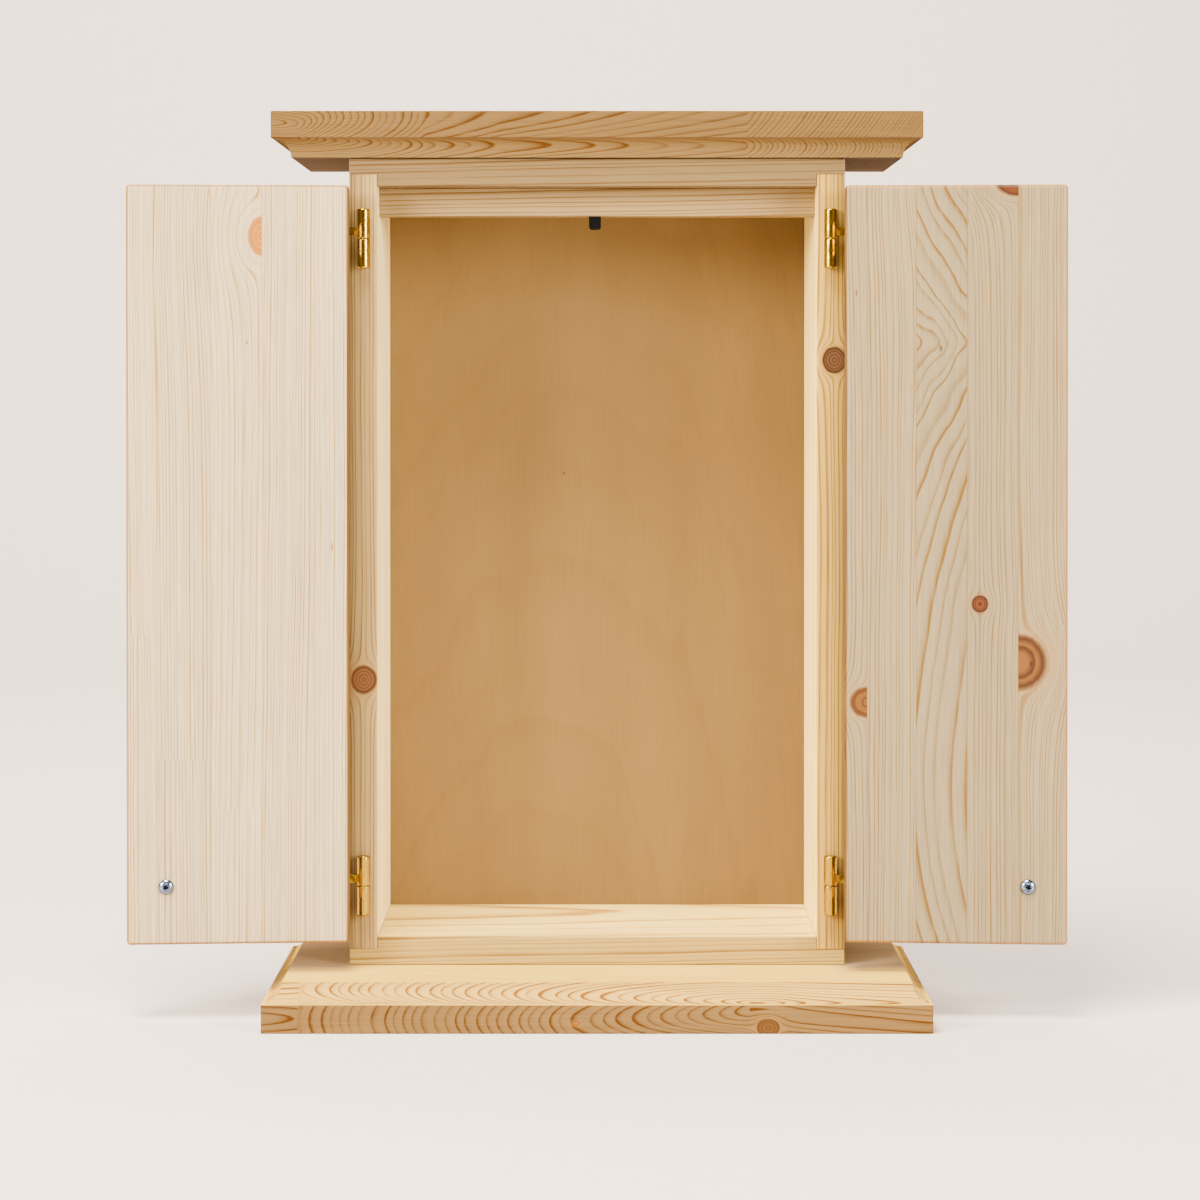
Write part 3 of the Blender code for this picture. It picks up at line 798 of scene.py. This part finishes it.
def door_pine(side):
    """Pale edge-glued pine: straight narrow rings on the left, livelier on the right."""
    if side == "left":
        staves = [
            stave(-310.0, -420.0, -20.0, 2.1, seed=3.1, tone=1.0, joint=246.0,
                  shift=4.0),
            stave(-279.1, -520.0, 10.0, 2.3, seed=7.7, tone=0.95, joint=167.0,
                  shift=9.0),
            stave(-245.2, -100.0, 60.0, 2.5, lean_across=0.012, seed=14.9, tone=1.05,
                  joint=135.0, shift=6.0),
            stave(-212.6, -20.0, -30.0, 2.1, lean_across=0.01, seed=17.9, tone=0.98),
            stave(-179.7, 80.0, 40.0, 2.0, seed=21.4, tone=1.03),
        ]
        knots = [
            knot("left door half knot", -212.9, 499.7, 8.2, stretch=1.45, side=-1,
                 halo="A88446", ring=2.4, rim=0.5, flow=2.0),
        ]
        marks = [
            mark(-168.7, 301.8, 1.1, 4.0, "7C5526"),
            mark(-222.3, 432.1, 1.2, 1.2, "6A4420"),
        ]
        # Painted shade on the hinge-side edge face, for the dark gap between door and case
        gap_shade = face_towards(0, 1, "painted gap shade", 1.0, least=0.45)
        return pine("pale pine, left door", "upright", *PALETTE["left door"], staves,
                    knots, marks, contrast=1.15, wander=4.5, fibre_depth=0.14,
                    other_faces=(arrises("door arris", 1.0), gap_shade))
    staves = [
        stave(150.0, 40.0, -40.0, 2.2, seed=2.2, tone=1.03),
        stave(172.1, 60.0, 20.0, 2.4, lean_across=0.008, seed=5.5, tone=1.04),
        stave(202.9, 0.0, -6.0, 8.2, seed=9.4, tone=0.95),
        stave(235.1, 560.0, 30.0, 2.8, seed=14.6, tone=0.97),
        stave(267.3, 620.0, 10.0, 2.2, seed=19.2, tone=1.03),
    ]
    knots = [
        knot("quarter knot", 267.3, 533.0, 13.3, stretch=0.57, side=-1, halo="7A5226",
             flow=1.6),
        knot("right door half knot", 267.3, 229.0, 16.5, side=1, halo="8A6030",
             stretch=1.0, ring=13.0, rim=0.9),
        knot("small knot", 243.2, 266.0, 4.8, halo="7E5626", rim=1.0, ring=1.9),
        knot("spike knot", 172.1, 203.0, 10.4, stretch=0.9, side=-1, halo="86602C",
             ring=5.0),
    ]
    marks = [
        mark(218.5, 428.3, 1.3, 2.2, "3E200E"),
        mark(165.1, 463.7, 1.0, 3.0, "50301A"),
        mark(275.5, 228.0, 1.5, 1.6, "2C1608"),
        mark(243.2, 266.0, 1.2, 1.0, "2A1408"),
    ]
    # Painted shade on the hinge-side edge face, for the dark gap between door and case
    gap_shade = face_towards(0, -1, "painted gap shade", 1.0, least=0.45)
    swirl = {
        "middle": 219.0, "half": 16.1, "level": 432.0, "reach": 100.0, "rise": 130.0,
        "foot": 180.0, "bend": 0.0014, "ripple": 26.0,
    }
    return pine("pale pine, right door", "upright", *PALETTE["right door"], staves,
                knots, marks, contrast=1.3, wander=7.0, fibre_depth=0.14, swirl=swirl,
                other_faces=(arrises("door arris", 1.0), gap_shade))


def case_pine(side):
    """Case sides: honey coloured front edges with painted shade and highlight, paler inner faces
    partly painted light.
    """
    sign = SIDES[side]
    seed = 4.2 if side == "left" else 8.8
    # Front edge tones: painted shade beside the open door, painted highlight by the inner arris
    tones_and_shade = [(160.2, 1.0), (159.3, 0.5), (157.0, 0.72), (152.0, 0.95), (146.0, 1.1),
             (142.6, 1.25), (141.5, 1.0)]
    staves = [
        stave(sign * edge, sign * 290.0, -55.0, 2.8, seed=seed, tone=tone)
        for edge, tone in sorted(tones_and_shade, key=lambda pair: sign * pair[0])
    ]
    if side == "left":
        knots = [knot("left edge knot", -150.7, 214.7, 8.0, ring=2.0, deep=-19.0)]
    else:
        knots = [knot("right edge knot", 153.1, 421.1, 7.5, ring=2.0, deep=-19.0)]
    # Paler inner faces: partly face grain, partly painted light
    inner = face_towards(0, -sign, f"{side} inner face", 1.2)
    outer = face_towards(0, sign, "outer face", 1.0)
    return pine(f"honey pine, {side} side", "upright", *PALETTE[f"{side} front edge"],
                staves, knots, contrast=1.5, wander=6.0, blend="LINEAR",
                fibre_depth=0.1, other_faces=(inner, outer))


def panel_pine(part, seed, other_faces=()):
    """Level boards of the case, with the grain from side to side."""
    staves = [stave(-200.0, 300.0, 60.0, 3.0, lean_across=0.02, seed=seed)]
    return pine(f"honey pine, {part}", "level", *PALETTE[part], staves, wander=5.0,
                by="depth", contrast=1.3, other_faces=other_faces)


def plywood():
    """Rotary-cut plywood face: wide soft waves, golden under the lacquer."""
    # Tones across the back: darker towards the right edge beside the right side, as painted
    # shade
    tones_and_shade = [(-150.0, 1.0), (-60.0, 1.05), (50.0, 1.0), (142.0, 0.72)]
    staves = [
        stave(edge, -52.0, 210.0, 15.0, lean_across=0.08, lean_depth=0.26, seed=6.0,
              tone=tone)
        for edge, tone in tones_and_shade
    ]
    marks = [mark(-23.0, 344.5, 1.3, 1.0, "4A2C12")]
    return pine("golden plywood", "upright", *PALETTE["plywood"], staves, (), marks,
                contrast=0.21, wander=90.0, blend="LINEAR", roughness=0.55, shine=0.06)


def base_pine():
    """Base board: arched rings on the fascia, which sweep into hooks on the cove."""
    low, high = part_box("base_board")
    front = low.y * MM
    half = high.x * MM
    staves = [
        stave(-half, 9.0, front + 2.0, 3.4, seed=1.0),
        stave(-186.3, 9.0, front + 5.0, 3.4, seed=1.0),
        stave(-186.0, 8.0, front + 62.0, 1.5, seed=3.3),
        stave(-20.0, 8.0, front + 24.0, 1.5, seed=3.3),
        stave(96.0, 13.5, front + 5.0, 1.5, seed=3.3),
        stave(half, 4.0, front + 9.0, 2.2, seed=3.3),
    ]
    knots = [
        knot("base pin knot", 6.6, -13.0, 1.6, stretch=1.5, ring=1.2),
        knot("base knot", 4.0, 107.0, 5.2, stretch=1.3, ring=2.0),
    ]
    return pine(
        "honey pine, base board", "level", *PALETTE["base fascia"], staves, knots,
        contrast=1.4, wander=3.0, by="along", blend="LINEAR",
        fibre_depth=0.12, speckle=0.06, uneven_by=0.9, shine=0.0,
        other_faces=(
            # Cove and top paler than the fascia: partly grain, partly painted light from above
            behind_the_fascia(
                half - FASCIA_SKIN, front + FASCIA_SKIN, "base cove", 1.2,
            ),
            face_towards(2, 1, "base top", 0.5),
            # Painted shadow of the open doors on the base board's top, at both ends
            painted_shadow_beside_case("painted door shadow", 0.5),
        ),
    )


def top_pine():
    """Top board: rings that fan out along the fascia, hooked where the cove cuts them."""
    low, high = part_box("top_board")
    front = low.y * MM
    half = high.x * MM
    foot = low.z * MM
    staves = [
        stave(-half, foot + 22.0, front + 2.0, 1.3, seed=6.6),
        stave(-192.0, foot + 21.0, front + 4.0, 1.3, seed=6.6),
        stave(-170.0, foot + 25.0, front + 12.0, 1.4, seed=6.6),
        stave(-110.0, foot + 27.0, front + 32.0, 1.5, seed=6.6),
        stave(-60.0, foot + 32.0, front + 38.0, 1.6, seed=6.6),
        stave(96.0, foot + 36.0, front + 46.0, 1.6, seed=6.6),
        stave(half, foot + 50.0, front + 76.0, 1.2, seed=6.6),
    ]
    # The cove is paler than the fascia, partly as cut grain and partly as painted light
    cove = behind_the_fascia(half - FASCIA_SKIN, front + FASCIA_SKIN, "top cove", 1.1)
    # The underside, darker as painted shade
    under = face_towards(2, -1, "painted underside shade", 0.8)
    return pine("honey pine, top board", "level", *PALETTE["top fascia"], staves,
                contrast=1.3, wander=3.0, by="along", blend="LINEAR", fibre_depth=0.12,
                speckle=0.06, uneven_by=0.9, shine=0.0, other_faces=(cove, under))


def dress(node, material):
    """Give a CAD node a material in place of its own."""
    slots = NODES[node].data.materials
    slots.clear()
    slots.append(material)


def dress_boards():
    """Dress the boards, the back and the catch: the rounded ones as smooth copies."""
    smooth_copy("base_board", "coved_base_board", base_pine(), "cabinet")
    smooth_copy("top_board", "coved_top_board", top_pine(), "cabinet")
    for side in SIDES:
        slab = smooth_copy(
            f"{side}_door", f"{side}_slab_door", door_pine(side), f"{side}_door",
        )
        for vert in slab.data.vertices:
            if abs(vert.co.x) < DOOR_HINGE_EDGE:
                vert.co.x -= SIDES[side] * CLOSER_TO_CASE
        dress(f"case_{side}_side", case_pine(side))
    dress("case_top_panel", panel_pine("case top", 1.4))
    dress("door_stop_rail", panel_pine("stop rail", 5.0))
    # The inner floor, paler partly as face grain and partly as painted light from above
    inner_floor = face_towards(2, 1, "inner floor", 0.8)
    dress("case_bottom_panel", panel_pine("case bottom", 9.0, (inner_floor,)))
    dress("back_panel", plywood())
    dress("magnetic_catch", black_moulded_plastic())


def hinge_half(side, level, half, brass):
    """One half of a barrel hinge: its leaf and link, in a finely turned sleeve."""
    case_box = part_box(f"{side}_{level}_hinge_case_half")
    middle = case_box[0].z + HINGE_HALF
    up = 1.0 if half == "door" else -1.0
    profile = [(BARREL - LIP, SEAM), (BARREL, SEAM + LIP)]
    profile += [(BARREL, GROOVE_AT - GROOVE), (BARREL - GROOVE, GROOVE_AT)]
    profile += [(BARREL, GROOVE_AT + GROOVE)]
    profile += arc((BARREL - DOME, HINGE_HALF - DOME), (DOME, DOME), 0, 90, 5)
    profile.append((0.0, HINGE_HALF + CROWN))
    node = f"{side}_{level}_hinge_{half}_half"
    body = "cabinet" if half == "case" else f"{side}_door"
    bm = bmesh.new()
    bm.from_mesh(NODES[node].data)
    bmesh.ops.remove_doubles(bm, verts=bm.verts, dist=SAME_PLACE)
    pivot = JOINTS[f"{side}_door"]["pos_m"]
    for vert in bm.verts:
        in_front = pivot[1] - vert.co.y
        from_axis = math.hypot(vert.co.x - pivot[0], in_front)
        if in_front > STRAP_IN_FRONT and from_axis > KNUCKLE:
            vert.co.y += STRAP_BACK
        if half == "door" and abs(vert.co.x) > CASE_EDGE:
            vert.co.x -= SIDES[side] * CLOSER_TO_CASE
    place = Vector((pivot[0], pivot[1], middle))
    axis = Vector((0.0, 0.0, up))
    spin_profile(bm, profile, place, axis, Vector((1.0, 0.0, 0.0)), BARREL_STEPS)
    finish_mesh(f"{side}_{level}_brass_{half}_half", bm, brass, body, [node])


def dress_hardware():
    """Build the hinges, the screws in the doors and the turned knobs."""
    brass = polished_brass()
    zinc = zinc_plate()
    for side in SIDES:
        for level in LEVELS:
            for half in ("case", "door"):
                hinge_half(side, level, half, brass)
        smooth_copy(f"{side}_knob_screw", f"{side}_domed_screw", zinc, f"{side}_door")
        smooth_copy(
            f"{side}_pull_knob", f"{side}_turned_knob",
            pine(f"turned pine, {side} knob", "upright", *PALETTE["turned knob"],
                 [stave(-400.0, 20.0, 90.0, 1.6)], wander=1.0),
            f"{side}_door",
        )


set_camera()
set_floor()
set_light()
dress_boards()
dress_hardware()
